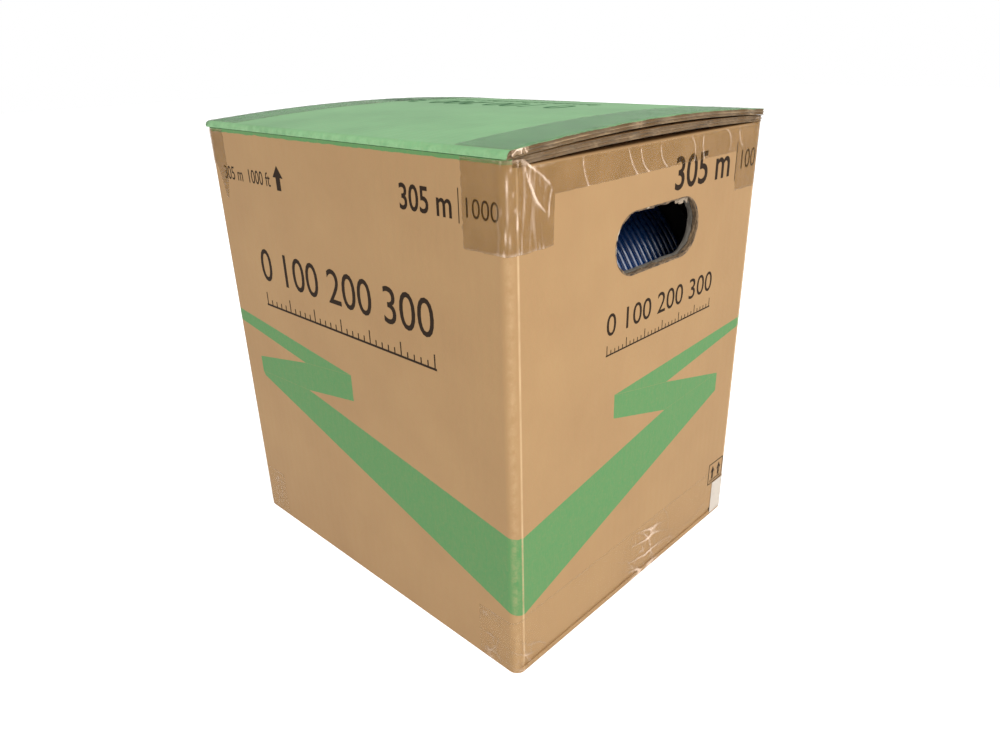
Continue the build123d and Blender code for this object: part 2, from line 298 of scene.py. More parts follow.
# Rub and painted highlight: how much of a worn, lightened edge shows, near a given distance from an edge
rubAndHighlightGroup, t, gin, gout = newGroup(
    "rubAndHighlightEdge",
    [("Vector", "NodeSocketVector", None), ("Distance", "NodeSocketFloat", 10.0),
     ("Width", "NodeSocketFloat", 3.0)],
    [("Mask", "NodeSocketFloat")],
)
near = t.math("SUBTRACT", 1.0, t.math("DIVIDE", gin["Distance"], gin["Width"]), clamp=True)
patchy = t.spread(t.noise(gin["Vector"], 160.0, 4.0, 0.7), 0.35, 0.65)
t.put(t.math("MULTIPLY", near, patchy), gout["Mask"])

kraft = {
    "light": linear(149, 119, 79),
    "dark": linear(141, 111, 73),
    # The next two are a fold colour that is partly rub and partly a painted highlight, and the colour of a
    # painted highlight line
    "rubAndHighlight": linear(186, 156, 118),
    "creaseHighlight": linear(222, 192, 152),
    "cut": linear(150, 112, 76),
    "green": linear(64, 120, 68),
}


# Kraft paper: cloudy between two tones, with darker fibres; also gives the height and the fibres
def kraftTone(t, vector, flute):
    paper = t.group(paperGroup, Vector=vector, Flute=flute)
    tone = t.mix(paper["Cloud"], kraft["dark"], kraft["light"])
    flecked = t.mix(t.spread(paper["Fibre"], 0.3, 0.75, 0.0, 0.55), tone, kraft["cut"])
    return flecked, paper["Height"], paper["Fibre"]


# 1 inside a convex polygon with corners in mm, by the least distance to its sides
def polygonMask(t, u, v, corners, soft):
    centre = np.mean(corners, axis=0)
    inside = None
    for (x1, y1), (x2, y2) in zip(corners, corners[1:] + corners[:1]):
        normal = np.array([y2 - y1, x1 - x2]) / math.hypot(x2 - x1, y2 - y1)
        normal = normal if normal @ (centre - np.array([x1, y1])) > 0 else -normal
        side = t.math("MULTIPLY_ADD", u, float(normal[0]), float(-normal @ np.array([x1, y1])))
        side = t.math("MULTIPLY_ADD", v, float(normal[1]), side)
        inside = side if inside is None else t.math("MINIMUM", inside, side)
    return t.math("MULTIPLY_ADD", inside, 1 / soft, 0.5, clamp=True)


# The zigzag band, as convex areas of each face, in mm across and up from the carton's middle and base
band = {
    "soft": 0.35,
    "overFold": 5.5,  # the flap's green runs this far down over the front fold
    "front": [
        [(-160, 188.4), (0, 169.7), (-57.6, 163.1), (-160, 179.2)],
        [(0, 169.7), (0, 149.9), (-57.6, 140.8), (-125, 137.5), (-125, 150.7), (-57.6, 163.1)],
        [(-125, 137.5), (-57.6, 140.8), (152.5, 105.2), (152.5, 47.2), (-122.8, 134.2)],
    ],
    "right": [
        [(-126, 104.6), (25.6, 133.4), (99.9, 137.5), (99.9, 122.4), (-126, 46.4)],
        [(-36.8, 167.8), (25.6, 155.4), (99.9, 137.5), (25.6, 133.4), (-36.8, 150.7)],
        [(-36.8, 167.8), (140, 177.2), (140, 171), (25.6, 155.4)],
    ],
}
band["back"] = [[(-160, 178.4), *band["front"][0][1:3], (-160, 170.6)], *band["front"][1:]]
band["left"] = [*band["right"][:2], [(-36.8, 167.8), (140, 187.6), (140, 178.4), (25.6, 155.4)]]

# Reach of the rub and painted highlight from a corner, and place and reach of the painted highlight line
# beside each fold, in mm
foldLook = {"rubAndHighlightWidth": 5.0, "rubAndHighlightAmount": 0.5, "highlightInset": 0.5, "highlightNear": 0.3, "highlightFar": 1.1,
            "highlightAmount": 0.32}


# Kraft with the band's areas inked, folds rubbed and lightened partly as a painted highlight, and a painted
# highlight line where each fold meets its wall
def wallMaterial(name, flutesAlong, areas, hand=1.0, frontTop=None):
    material, t, shader = newMaterial(name, 0.72, **{"Specular IOR Level": 0.3})
    place = t.place()
    x, y, z = t.axes(place)
    u = t.math("MULTIPLY", x if flutesAlong == "x" else y, 1000.0)
    v = t.math("MULTIPLY", z, 1000.0)
    tone, height, fibre = kraftTone(t, place, u)
    if areas:
        blur = t.math("MULTIPLY_ADD", t.noise(place, 700.0, 2.0), 0.5, -0.25)
        seenAcross = t.math("ADD", t.math("MULTIPLY", u, hand), blur)
        seenUp = t.math("ADD", v, blur)
        ink = None
        for corners in areas:
            part = polygonMask(t, seenAcross, seenUp, corners, band["soft"])
            ink = part if ink is None else t.math("MAXIMUM", ink, part)
        if frontTop:
            wavering = t.math("MULTIPLY_ADD", t.noise(place, 90.0, 3.0), 2.4, v)
            ink = t.math("MAXIMUM", ink, t.spread(wavering, frontTop, frontTop + 0.4))
        inked = t.mix(t.spread(fibre, 0.3, 0.8, 0.0, 0.2), kraft["green"], kraft["light"])
        tone = t.mix(t.math("MULTIPLY", ink, 0.96), tone, inked)
    across = t.math("SUBTRACT", halfLength, t.math("ABSOLUTE", t.math("MULTIPLY", x, 1000.0)))
    along = t.math("SUBTRACT", halfDepth, t.math("ABSOLUTE", t.math("MULTIPLY", y, 1000.0)))
    corner = t.math("MAXIMUM", across, along)
    # Upright folds lightened: partly rub, partly a painted highlight
    rubAndHighlight = t.group(rubAndHighlightGroup, Vector=place, Distance=corner, Width=foldLook["rubAndHighlightWidth"])["Mask"]
    # A painted highlight line beside each fold, where it meets its wall
    fromHighlight = t.math("ABSOLUTE", t.math("SUBTRACT", along, foldRadius - foldLook["highlightInset"]))
    creaseHighlight = t.spread(fromHighlight, foldLook["highlightNear"], foldLook["highlightFar"], 1.0, 0.0)
    creaseHighlight = t.math("MULTIPLY", creaseHighlight, t.spread(across, 1.0, 1.8, foldLook["highlightAmount"], 0.0))
    creaseHighlight = t.math("MULTIPLY", creaseHighlight, t.spread(t.noise(place, 40.0, 3.0), 0.3, 0.6, 0.4, 1.0))
    tone = t.mix(t.math("MULTIPLY", rubAndHighlight, foldLook["rubAndHighlightAmount"]), tone, kraft["rubAndHighlight"])
    t.put(t.mix(creaseHighlight, tone, kraft["creaseHighlight"]), shader["Base Color"])
    t.put(t.bump(height, 0.0004, 0.5), shader["Normal"])
    return material


frontKraft = wallMaterial("frontKraft", "x", band["front"], 1.0, topFold - band["overFold"])
rightKraft = wallMaterial("rightKraft", "y", band["right"])
backKraft = wallMaterial("backKraft", "x", band["back"], -1.0)
leftKraft = wallMaterial("leftKraft", "y", band["left"], -1.0)
plainKraft = wallMaterial("plainKraft", "y", None)
innerKraft = wallMaterial("innerKraft", "x", None)
paint(frontKraft, "front_panel")
paint(rightKraft, "right_panel")
paint(backKraft, "back_panel")
paint(leftKraft, "left_panel")
paint(plainKraft, "glue_tab", "top_end_flap_right", "top_end_flap_left", "bottom_flap", "bottom_under_flap",
      "bottom_end_flap_right", "bottom_end_flap_left", "top_under_flap", "top_flap")
paint(innerKraft, "reel_support_front", "reel_support_back", "end_liner_right", "end_liner_left")
print("walls painted")

# The two top flaps, with crushed flute edges
flapEdge = {"lines": 2, "depth": 1.5, "rough": 0.35, "most": 3.0, "steps": 15, "across": 48, "rows": 260}
flapSag = {"buckle": 0.15, "buckleReach": 120, "ripple": 0.12, "rippleReach": 60}


# How far the board's edge is pushed in, in mm: deep between the liners, torn unevenly along y
def fluteRecess(seed, t, y):
    valley = (0.5 - 0.5 * np.cos(2 * math.pi * flapEdge["lines"] * t)) ** 0.6
    crushed = 0.62 + 0.38 * waves(seed, y, reach=26) + 0.22 * waves(seed + 1, y, t * 9, reach=4)
    ragged = flapEdge["rough"] * (0.5 + 0.5 * waves(seed + 2, y, t * 5, reach=2.2))
    return np.clip(flapEdge["depth"] * valley * crushed + ragged, 0, flapEdge["most"])


# A closed loop round the board's X-Z section, carried along Y over the bulge. The front top edge is a
# quarter round, and both X edges are pushed in by fluteRecess.
def crownedBoard(name, body, seed, low, high, bulge, frontRound, replaced):
    dy = np.concatenate([frontRound * (1 - np.cos(np.linspace(0, math.pi / 2, 9))), [frontRound + 1.5]])
    flat = np.linspace(low[1] + frontRound + 2.5, high[1], flapEdge["rows"])
    y = np.concatenate([low[1] + dy, flat])[:, None]
    n, k = flapEdge["across"], flapEdge["steps"]
    across = np.linspace(0, 1, n)
    edge = np.linspace(1, 0, k + 2)[1:-1]
    t = np.concatenate([np.ones(n), edge, np.zeros(n), edge[::-1]])[None, :]
    x = np.concatenate([low[0] + across * (high[0] - low[0]), np.full(k, high[0]),
                        high[0] - across * (high[0] - low[0]), np.full(k, low[0])])[None, :]
    sign = np.sign(x)
    onEdge = (np.abs(x) > high[0] - 0.01)
    dx = np.where(onEdge, fluteRecess(seed, t, y + 300 * sign), 0)
    short = frontRound - np.clip(y - low[1], 0, frontRound)
    drop = frontRound - np.sqrt(np.clip(frontRound ** 2 - short ** 2, 0, None))
    buckle = 0.25 * waves(seed + 5, x + 0 * y, y + 0 * x, reach=flapSag["buckleReach"])
    buckle = buckle * smooth(0, 25, y - low[1]) * smooth(0, 12, high[1] - y)
    ripple = np.abs(waves(seed + 7, x + 0 * y, y + 0 * x, reach=flapSag["rippleReach"]))
    z = low[2] + rise(y, bulge) + t * (boardThick - drop) - flapSag["ripple"] * t * ripple
    z = z - flapSag["buckle"] * np.clip(buckle, 0, 1) * t
    points = np.stack([x - sign * dx, y + 0 * x, z + 0 * x], -1)
    rows, columns = points.shape[:2]
    grid = np.arange(rows * columns).reshape(rows, columns)
    following = np.roll(grid, -1, 1)
    sides = np.stack([grid[:-1], following[:-1], following[1:], grid[1:]], -1).reshape(-1, 4)
    faces = sides.tolist() + [grid[0][::-1].tolist(), grid[-1].tolist()]
    ink = np.broadcast_to((t > 0.93) & (dx < 0.5), (rows, columns)).astype(float)
    ink[0] = 1
    # How far the edge is pushed in, which sets the painted shade in the recess
    recessShade = np.broadcast_to(dx / flapEdge["depth"], (rows, columns))
    values = {"ink": ink, "recessShade": recessShade}
    piece = meshPiece(name, points.reshape(-1, 3), faces, body, replaced, True, values)
    piece.data.polygons.foreach_set("use_smooth", np.array([len(f) == 4 for f in faces]))
    return piece


topBoard = crownedBoard("topFlapBoard", "opening_flap", 11, flapLow, flapHigh, crown, 3.0,
                        ["top_flap"])
underBoard = crownedBoard("underFlapBoard", "carton", 31, underLow, underHigh, underCrown, 0.4,
                          ["top_under_flap"])


# Torn edge: fine layers along the board between two tones, with painted shade where it is pushed in
def cutEdge(t, place, dark, light):
    layers = t.noise(t.stretched(place, (1, 0.12, 1)), 500.0, 4.0, 0.7)
    tone = t.mix(t.spread(layers, 0.3, 0.7), dark, light)
    # Painted shade, darkest where the edge is pushed in furthest
    return t.mix(t.spread(t.attribute("recessShade"), 0.15, 0.9), tone, linear(34, 27, 19))


# 1 at the carton's two X sides, fading to 0 between near and far mm from them
def atSides(t, x, near, far):
    inwards = t.math("SUBTRACT", halfLength, t.math("ABSOLUTE", t.math("MULTIPLY", x, 1000.0)))
    return t.spread(inwards, near, far, 1.0, 0.0)


flapGreen = {"dark": linear(89, 134, 90), "light": linear(104, 153, 103), "rubAndHighlight": linear(150, 190, 140)}
flapPrint, t, shader = newMaterial("greenFlap", 0.62, **{"Specular IOR Level": 0.4})
place = t.place()
x, y, z = t.axes(place)
paperTone, height, fibre = kraftTone(t, place, t.math("MULTIPLY", x, 1000.0))
cutTone = cutEdge(t, place, linear(66, 54, 38), linear(150, 124, 90))
edgeOn = atSides(t, x, 0.5, 2.2)
inked = t.attribute("ink")
bare = t.mix(t.math("MULTIPLY", edgeOn, t.math("SUBTRACT", 1.0, inked)), paperTone, cutTone)
green = t.mix(t.spread(t.noise(place, 9.0, 4.0, 0.65), 0.3, 0.7), flapGreen["dark"], flapGreen["light"])
green = t.mix(t.spread(fibre, 0.35, 0.8, 0.0, 0.16), green, kraft["light"])
# The front fold lightened to a paler green: partly rub, partly a painted highlight
front = t.math("ADD", t.math("MULTIPLY", y, 1000.0), halfDepth)
rubAndHighlightFront = t.group(rubAndHighlightGroup, Vector=place, Distance=front, Width=2.4)["Mask"]
green = t.mix(t.math("MULTIPLY", rubAndHighlightFront, 0.35), green, flapGreen["rubAndHighlight"])
t.put(t.mix(t.spread(inked, 0.4, 0.6), bare, green), shader["Base Color"])
t.put(t.bump(height, 0.0004, 0.45), shader["Normal"])
dress(topBoard, flapPrint)

underTone, t, shader = newMaterial("underFlapBoardPaper", 0.8)
place = t.place()
x, y, z = t.axes(place)
paperTone, height, fibre = kraftTone(t, place, t.math("MULTIPLY", x, 1000.0))
cutTone = cutEdge(t, place, linear(62, 50, 35), linear(138, 112, 80))
t.put(t.mix(atSides(t, x, 1.5, 3.0), paperTone, cutTone), shader["Base Color"])
t.put(t.bump(height, 0.0004, 0.4), shader["Normal"])
dress(underBoard, underTone)
print("top flaps made")

# The cable: turns along two helices over a plain core
winding = {"pitch": 6.25, "radius": 3.05, "sides": 10, "perTurn": 72, "endGap": 0.8, "layerStep": 5.3,
           "coreStep": 8.0, "coreInner": 50.4, "coreSides": 96}
wireLow, wireHigh = boxOf("cable_winding")
axleZ = (wireLow[2] + wireHigh[2]) / 2
woundRadius = (wireHigh[0] - wireLow[0]) / 2 - winding["radius"]
turns = int((wireHigh[1] - wireLow[1] - 2 * winding["radius"] - 1) / winding["pitch"])


# Circles of the cable's radius carried along a helix about the axle, with a little sideways wander
def woundLayer(name, radius, hand, startY, seed):
    a = np.linspace(0, 2 * math.pi * turns, turns * winding["perTurn"] + 1)
    wander = 0.5 * waves(seed, radius * np.cos(a), radius * np.sin(a), a * 3, reach=120)
    settled = np.clip(np.minimum(a, a[-1] - a), 0, 1)
    y = startY + hand * winding["pitch"] * a / (2 * math.pi) + wander * settled
    lift = 0.35 * waves(seed + 1, radius * np.cos(a), radius * np.sin(a), y, reach=70) - 0.4
    b = np.linspace(0, 2 * math.pi, winding["sides"], endpoint=False)
    r = (radius + lift)[:, None] + winding["radius"] * np.cos(b)
    yy = y[:, None] + winding["radius"] * np.sin(b) * hand
    points = np.stack([r * np.sin(a)[:, None], yy, axleZ + r * np.cos(a)[:, None]], -1)
    rows, sides = r.shape
    grid = np.arange(rows * sides).reshape(rows, sides)
    following = np.roll(grid, -1, 1)
    quads = np.stack([grid[:-1], following[:-1], following[1:], grid[1:]], -1).reshape(-1, 4)
    faces = [f[::-hand] for f in quads.tolist() + [grid[0][::-1].tolist(), grid[-1].tolist()]]
    return meshPiece(name, points.reshape(-1, 3), faces, "reel", ["cable_winding"])


endInset = winding["radius"] + winding["endGap"]
outerTurns = woundLayer("cableOuterTurns", woundRadius, 1, wireLow[1] + endInset, 51)
lowerTurns = woundLayer("cableLowerTurns", woundRadius - winding["layerStep"], -1, wireHigh[1] - endInset, 61)

# The layers below are a ring section, four corners, turned round the axle
coreOuter = woundRadius - winding["coreStep"]
yEnds = np.array([wireLow[1], wireHigh[1], wireHigh[1], wireLow[1]])
rEnds = np.array([coreOuter, coreOuter, winding["coreInner"], winding["coreInner"]])
a = np.linspace(0, 2 * math.pi, winding["coreSides"], endpoint=False)[:, None]
corePoints = np.stack([rEnds * np.sin(a), yEnds + 0 * a, axleZ + rEnds * np.cos(a)], -1)
grid = np.arange(corePoints[..., 0].size).reshape(-1, len(rEnds))
around, across = np.roll(grid, -1, 0), np.roll(grid, -1, 1)
coreFaces = np.stack([grid, around, np.roll(around, -1, 1), across], -1).reshape(-1, 4)
cableCore = meshPiece("cableInnerLayers", corePoints.reshape(-1, 3), coreFaces, "reel")

jacketGloss = {"Specular IOR Level": 0.6, "Coat Weight": 0.25, "Coat Roughness": 0.18}
jacket, t, shader = newMaterial("blueJacket", 0.28, **jacketGloss)
place = t.place()
tint = t.mix(t.spread(t.noise(place, 40.0, 3.0), 0.3, 0.7), linear(4, 34, 78), linear(6, 50, 102))
t.put(tint, shader["Base Color"])
t.put(t.spread(t.noise(place, 260.0, 3.0), 0.3, 0.7, 0.2, 0.38), shader["Roughness"])
t.put(t.bump(t.noise(place, 600.0, 2.0), 0.0002, 0.3), shader["Normal"])
for piece in (outerTurns, lowerTurns, cableCore):
    dress(piece, jacket)
print("cable wound", turns)

# Clear tape: thin closed sheets that follow the carton, with ridges and creases whitened as milky haze and
# painted highlight
tape = {
    "film": 0.2, "step": 1.0, "columns": 46,
    "under": 26.5,  # under the base
    "onSide": 25.0,  # down from the top fold
    "onLow": 41.0,  # up from the base
    "wrap": 26.0,  # past each upright fold, on the front and back
    "leftWrap": 22.0,  # the same for the torn left strip
    "backSeam": 26.0,  # onto the flap at its back edge
    "inset": 0.3,  # of the bands on the flap from its edges
    "glueGap": 0.04,  # between the film and the board
}


# Ridge along a bowed line (s0, h0, s1, h1, bow): a bell across it, faded at both ends
def creaseAt(s, h, line, width):
    s0, h0, s1, h1, bow = line
    length = math.hypot(s1 - s0, h1 - h0)
    ds, dh = (s1 - s0) / length, (h1 - h0) / length
    along = ((s - s0) * ds + (h - h0) * dh) / length
    across = (s - s0) * dh - (h - h0) * ds - bow * 4 * along * (1 - along)
    return np.exp(-(across / width) ** 2) * smooth(-0.05, 0.1, along) * smooth(1.05, 0.85, along)


# Ridges of all the lines added up, once broad and once half as wide
def creased(s, h, lines, width=0.9):
    ridge = sum(creaseAt(s, h, line, width) for line in lines)
    thin = sum(creaseAt(s, h, line, width * 0.5) for line in lines)
    return np.clip(ridge, 0, 1.2), np.clip(thin, 0, 1)


# Ridged waves: one minus the size of a smooth wave, sharpened, so that folds meet in crests
def crumple(seed, s, h, stretchS, stretchH, sharp=3.0):
    bend = 0.35 * waves(seed + 7, s / stretchS, h / stretchH, reach=2.0)
    first = 1 - np.abs(waves(seed, s / stretchS + bend, h / stretchH, reach=1.6, terms=4))
    return np.clip(first, 0, 1) ** sharp


# A closed film over base points, lifted along their normals; the whitening is how milky it shows, partly as
# painted highlight on its creases
def tapeSheet(name, body, base, normal, lift, hazeAndGlint, replaced, side=1, film=tape["film"]):
    outer = base + normal * (lift + film)[..., None]
    inner = base + normal * (lift * 0.9 + tape["glueGap"])[..., None]
    if side < 0:
        outer, inner, hazeAndGlint = outer[::-1], inner[::-1], hazeAndGlint[::-1]
    points, faces = closedSheet(outer, inner)
    hazeAndGlintValues = np.concatenate([hazeAndGlint.ravel()] * 2)
    return meshPiece(name, points, faces, body, replaced, True, {"hazeAndGlint": hazeAndGlintValues})


# Rows follow the carton's outline (s), columns go up between two edges that are functions of s. Ridges and
# crumples lift the film and whiten it, as milky haze and painted highlight.
def wallTape(name, side, lowEdge, highEdge, sFrom, sTo, lines, crease, crumples, seed, replaced):
    s = np.arange(sFrom, sTo, tape["step"])[:, None]
    v = np.linspace(0, 1, tape["columns"])[None, :]
    h = lowEdge(s) + v * (highEdge(s) - lowEdge(s))
    atEnds = smooth(sFrom + 3, sFrom, s) - smooth(sTo - 3, sTo, s)
    s2 = s + 0 * v + 0.7 * waves(seed + 9, h, reach=7) * atEnds
    x, y, nx, ny = outline(s2, side)
    ridge, thin = creased(s2, h, lines)
    # Creases whiten the film: milky haze and painted highlight
    lift, hazeAndGlint = 0.55 * ridge, crease * (0.8 * thin + 0.2 * ridge)
    for where, amount, stretchS, stretchH, hazeGlint in crumples:
        fold = crumple(seed + 3, s2, h, stretchS, stretchH)
        fine = crumple(seed + 4, s2, h, stretchS * 0.45, stretchH * 0.8)
        weight = where(s2, h)
        lift = lift + amount * weight * (0.7 * fold + 0.3 * fine)
        hazeAndGlint = hazeAndGlint + weight * (hazeGlint + 0.55 * smooth(0.5, 1, fold) + 0.3 * smooth(0.55, 1, fine))
    rim = least(v * 8, (1 - v) * 8, (s2 - sFrom) * 0.4, (sTo - s2) * 0.4)
    lift = lift * smooth(-0.1, 1, rim) + 0.03
    hazeAndGlint = np.clip(hazeAndGlint + 0.12 * smooth(0.35, 0.05, rim), 0, 1)
    base = np.stack([x, y, h], -1)
    normal = np.stack([nx, ny, 0 * h], -1)
    return tapeSheet(name, "carton", base, normal, lift, hazeAndGlint, replaced, side)


# Bell curve of height 1
def bell(x, centre, width):
    return np.exp(-((x - centre) / width) ** 2)


sBack = quarter + wallRun  # the middle of the back fold
sideTop = endHigh[2] - 0.6
# Creases as (s0, h0, s1, h1, bow) in mm along the outline and up from the base
sideCreases = [
    (9, 324, 31, 309, -1), (31, 309, 28.5, 293, 1), (10, 323, 27, 296, 3), (13, 321, 21, 300, 2),
    (56, 322, 72, 296, 4), (98, 321, 116, 300, 3), (110, 321, 128, 303, 5), (131, 321, 141, 305, 3),
    (166, 321, 171, 303, -3), (181, 321, 188, 300, 3), (210, 321, 216, 306, -4), (228, 321, 236, 307, 2),
]


# Lower edge of the top strip: a drop at both upright folds, where the strip is pressed round the corner
def upperLow(s):
    corner = smooth(33.5, 32.5, s) + smooth(sBack - 33.5, sBack - 32.5, s)
    return topFold - tape["onSide"] - 27 * np.clip(corner, 0, 1) + 0.2 * waves(3, s, reach=11)


# The same, short at the front fold, with a pointed tail at the end of the strip
def tailedLow(s):
    return upperLow(s) + 22 * smooth(14, 4, s) - 24 * bell(s, -16, 5) * smooth(0, -8, s)


# Upper edge: just below the front panel's top, and rising to the end flap's fold on the end wall
def upperHigh(s):
    onWall = smooth(9, 17, s) * smooth(sBack - 9, sBack - 17, s)
    frontTop = frontHigh[2] - 0.4
    return frontTop + (sideTop - frontTop) * onWall


# Where the top strip is crumpled: at both upright folds, fading onto the end wall
def cornerPatch(s, h):
    return (0.6 * bell(s, 0, 6) + 0.3 * smooth(-4, 4, s) * smooth(34, 24, s) + 0.05 * bell(s, -22, 10)
            + 0.4 * bell(s, sBack - 2, 9))


# Upper edge of the bottom strip, a little higher on the end wall
def lowerHigh(s):
    onWall = smooth(-6, 12, s) * smooth(sBack + 6, sBack - 12, s)
    return tape["onLow"] + 4 * onWall + 0.3 * waves(5, s, reach=13)


# Its lower edge, level
def lowerLow(s):
    return 0.4 + 0 * s


bottomCreases = [
    (120, 22, 142, 3, 4), (132, 40, 150, 12, -5), (150, 34, 158, 6, 6), (166, 44, 172, 18, -4),
    (60, 12, 66, 2, 2), (186, 8, 150, 16, 3), (4, 26, 14, 2, 3), (-14, 24, -24, 6, -2),
    (-20, 22, -12, 3, 2), (10, 20, 26, 8, -2), (196, 12, 236, 22, 4),
]


# Where the bottom strip is crumpled: at the folds and in two patches on the end wall
def bottomPatch(s, h):
    return (0.6 * bell(s, 4, 12) * smooth(34, 14, h) + 0.85 * bell(s, 142, 22) * smooth(46, 34, h)
            + 0.3 * bell(s, 175, 18) * smooth(30, 10, h) + 0.4 * bell(s, -22, 7) + 0.5 * bell(s, sBack, 10))


reach = quarter / 2 + tape["wrap"]
tapes = []
for side, name in ((1, "Right"), (-1, "Left")):
    seed = 100 + 40 * side
    turned = [(sBack - a, b, sBack - c, d, -e) for a, b, c, d, e in sideCreases]
    lines = sideCreases if side > 0 else turned
    lowEdge, start = (upperLow, -reach) if side > 0 else (tailedLow, -tape["leftWrap"])
    tapes.append(wallTape("tapeUpper" + name, side, lowEdge, upperHigh, start, sBack + reach,
                          lines, 0.4, [(cornerPatch, 1.3, 6, 75, 0.08)], seed,
                          ["tape_side_" + name.lower()]))
    tapes.append(wallTape("tapeLower" + name, side, lowerLow, lowerHigh, -reach, sBack + reach,
                          bottomCreases, 0.22, [(bottomPatch, 0.8, 9, 20, 0.05)], seed + 20,
                          ["tape_bottom_" + name.lower()]))


# A band on the bulged flap: a function of x and y with shallow ripples, set along the bulge's normal
def topTape(name, xFrom, xTo, yFrom, yTo, seed, amount, replaced):
    x = np.linspace(xFrom, xTo, 44)[:, None]
    y = np.linspace(yFrom, yTo, int(abs(yTo - yFrom)) + 1)[None, :]
    innerEdge = xFrom if xFrom > 0 else xTo
    x2 = x + 0 * y + 0.5 * waves(seed, y, reach=15) * smooth(6, 0, np.abs(x - innerEdge))
    fold = crumple(seed + 2, x2, y + 0 * x, 60, 22, 5)
    lift = 0.35 * amount * fold + 0.04
    rim = least(x - xFrom, xTo - x, y - yFrom, yTo - y)
    # Crumples and edges whiten the film: milky haze and painted highlight
    hazeAndGlint = np.clip(0.1 * smooth(0.6, 1, fold) + 0.14 * smooth(0.8, 0.1, rim), 0, 1)
    slope = -2 * crown * y / halfDepth ** 2 + 0 * x
    base = np.stack([x2, y + 0 * x, topFold + rise(y) + 0 * x], -1)
    normal = np.stack([0 * slope, -slope, 1 + 0 * slope], -1) / np.sqrt(1 + slope ** 2)[..., None]
    return tapeSheet(name, "opening_flap", base, normal, lift * smooth(0, 1.5, rim), hazeAndGlint, replaced)


seamLow, seamHigh = boxOf("tape_back")
topLow = boxOf("tape_top_right")[0]
sideEnd, backEnd = halfLength - tape["inset"], halfDepth - tape["inset"]
tapes.append(topTape("tapeTopRight", topLow[0], sideEnd, topLow[1], backEnd, 201, 1.0, ["tape_top_right"]))
tapes.append(topTape("tapeTopLeft", -sideEnd, -topLow[0], topLow[1], backEnd, 211, 1.0, ["tape_top_left"]))
tapes.append(topTape("tapeTopBack", seamLow[0], seamHigh[0], halfDepth - tape["backSeam"], backEnd, 221, 0.8,
                     ["tape_top_back"]))


# A flat strip with shallow ripples: across and up are unit directions, and across x up is its outward side
def flatTape(name, origin, across, up, wide, high, seed, film, replaced=()):
    a = np.linspace(0, wide, int(wide / 2) + 1)[:, None]
    b = np.linspace(0, high, int(high / 2) + 1)[None, :]
    fold = crumple(seed, a + 0 * b, b + 0 * a, 45, 18, 5)
    rim = least(a, wide - a, b, high - b)
    lift = film * 0.5 * fold * smooth(0, 2, rim) + 0.01
    # Crumples and edges whiten the film: milky haze and painted highlight
    hazeAndGlint = 0.12 * smooth(0.6, 1, fold) + 0.14 * smooth(1.6, 0.2, rim)
    ragged = 0.4 * waves(seed + 1, a, reach=9) * smooth(2, 0, b)
    base = np.array(origin) + a[..., None] * np.array(across) + (b + ragged)[..., None] * np.array(up)
    normal = np.cross(across, up) + 0 * base
    return tapeSheet(name, "carton", base, normal, lift, hazeAndGlint, replaced, 1, film)


# The top strip's end, pressed over the flap's own edge at the front
for side, name in ((1, "Right"), (-1, "Left")):
    y = np.linspace(-halfDepth + 2.6, -halfDepth + 15, 28)[:, None]
    v = np.linspace(0, 1, 12)[None, :]
    top = topFold + rise(y) - 0.05
    foot = flapLow[2] + rise(y) + 0.7 * (1 + waves(281 + side, y, reach=6))
    z = foot + v * (top - foot)
    fold = crumple(291 + side, y + 0 * v, z, 4, 9)
    # Crumples whiten the film: milky haze and painted highlight
    hazeAndGlint = np.clip(0.15 + 0.5 * smooth(0.5, 1, fold), 0, 1) * smooth(0, 0.2, v + 0 * y)
    base = np.stack([side * (halfLength + 0.02) + 0 * z, y + 0 * z, z], -1)
    normal = np.array([side, 0, 0]) + 0 * base
    tapes.append(tapeSheet("tapeFlapEnd" + name, "opening_flap", base, normal, 0.35 * fold, hazeAndGlint, (), side))

# Seam strips on the back wall, and the strips under the base, just over the floor
leftwards, backwards, upwards = (-1, 0, 0), (0, 1, 0), (0, 0, 1)
seamWide, seamFilm = seamHigh[0] - seamLow[0], tape["film"] * 0.7
underFilm, underZ = 0.1, 0.19
tapes.append(flatTape("tapeUpperBack", (seamHigh[0], halfDepth, seamLow[2]), leftwards, upwards,
                      seamWide, seamHigh[2] - seamLow[2] - 0.4, 231, seamFilm, ["tape_back"]))
baseTapeHigh = boxOf("tape_bottom_back")[1][2]
tapes.append(flatTape("tapeLowerBack", (seamHigh[0], halfDepth, 0.5), leftwards, upwards,
                      seamWide, baseTapeHigh - 1, 251, seamFilm, ["tape_bottom_back"]))
tapes.append(flatTape("tapeLowerUnderBack", (seamHigh[0] - 0.5, halfDepth - baseTapeHigh + 0.5, underZ),
                      leftwards, backwards, seamWide - 1, baseTapeHigh - 1, 261, underFilm))
for side, name in ((1, "Right"), (-1, "Left")):
    start = halfLength - 0.4 if side > 0 else -halfLength + 0.4 + tape["under"]
    tapes.append(flatTape("tapeLowerUnder" + name, (start, -halfDepth + foldRadius + 0.5, underZ),
                          leftwards, backwards, tape["under"], wallRun - 1, 241 + side, underFilm))


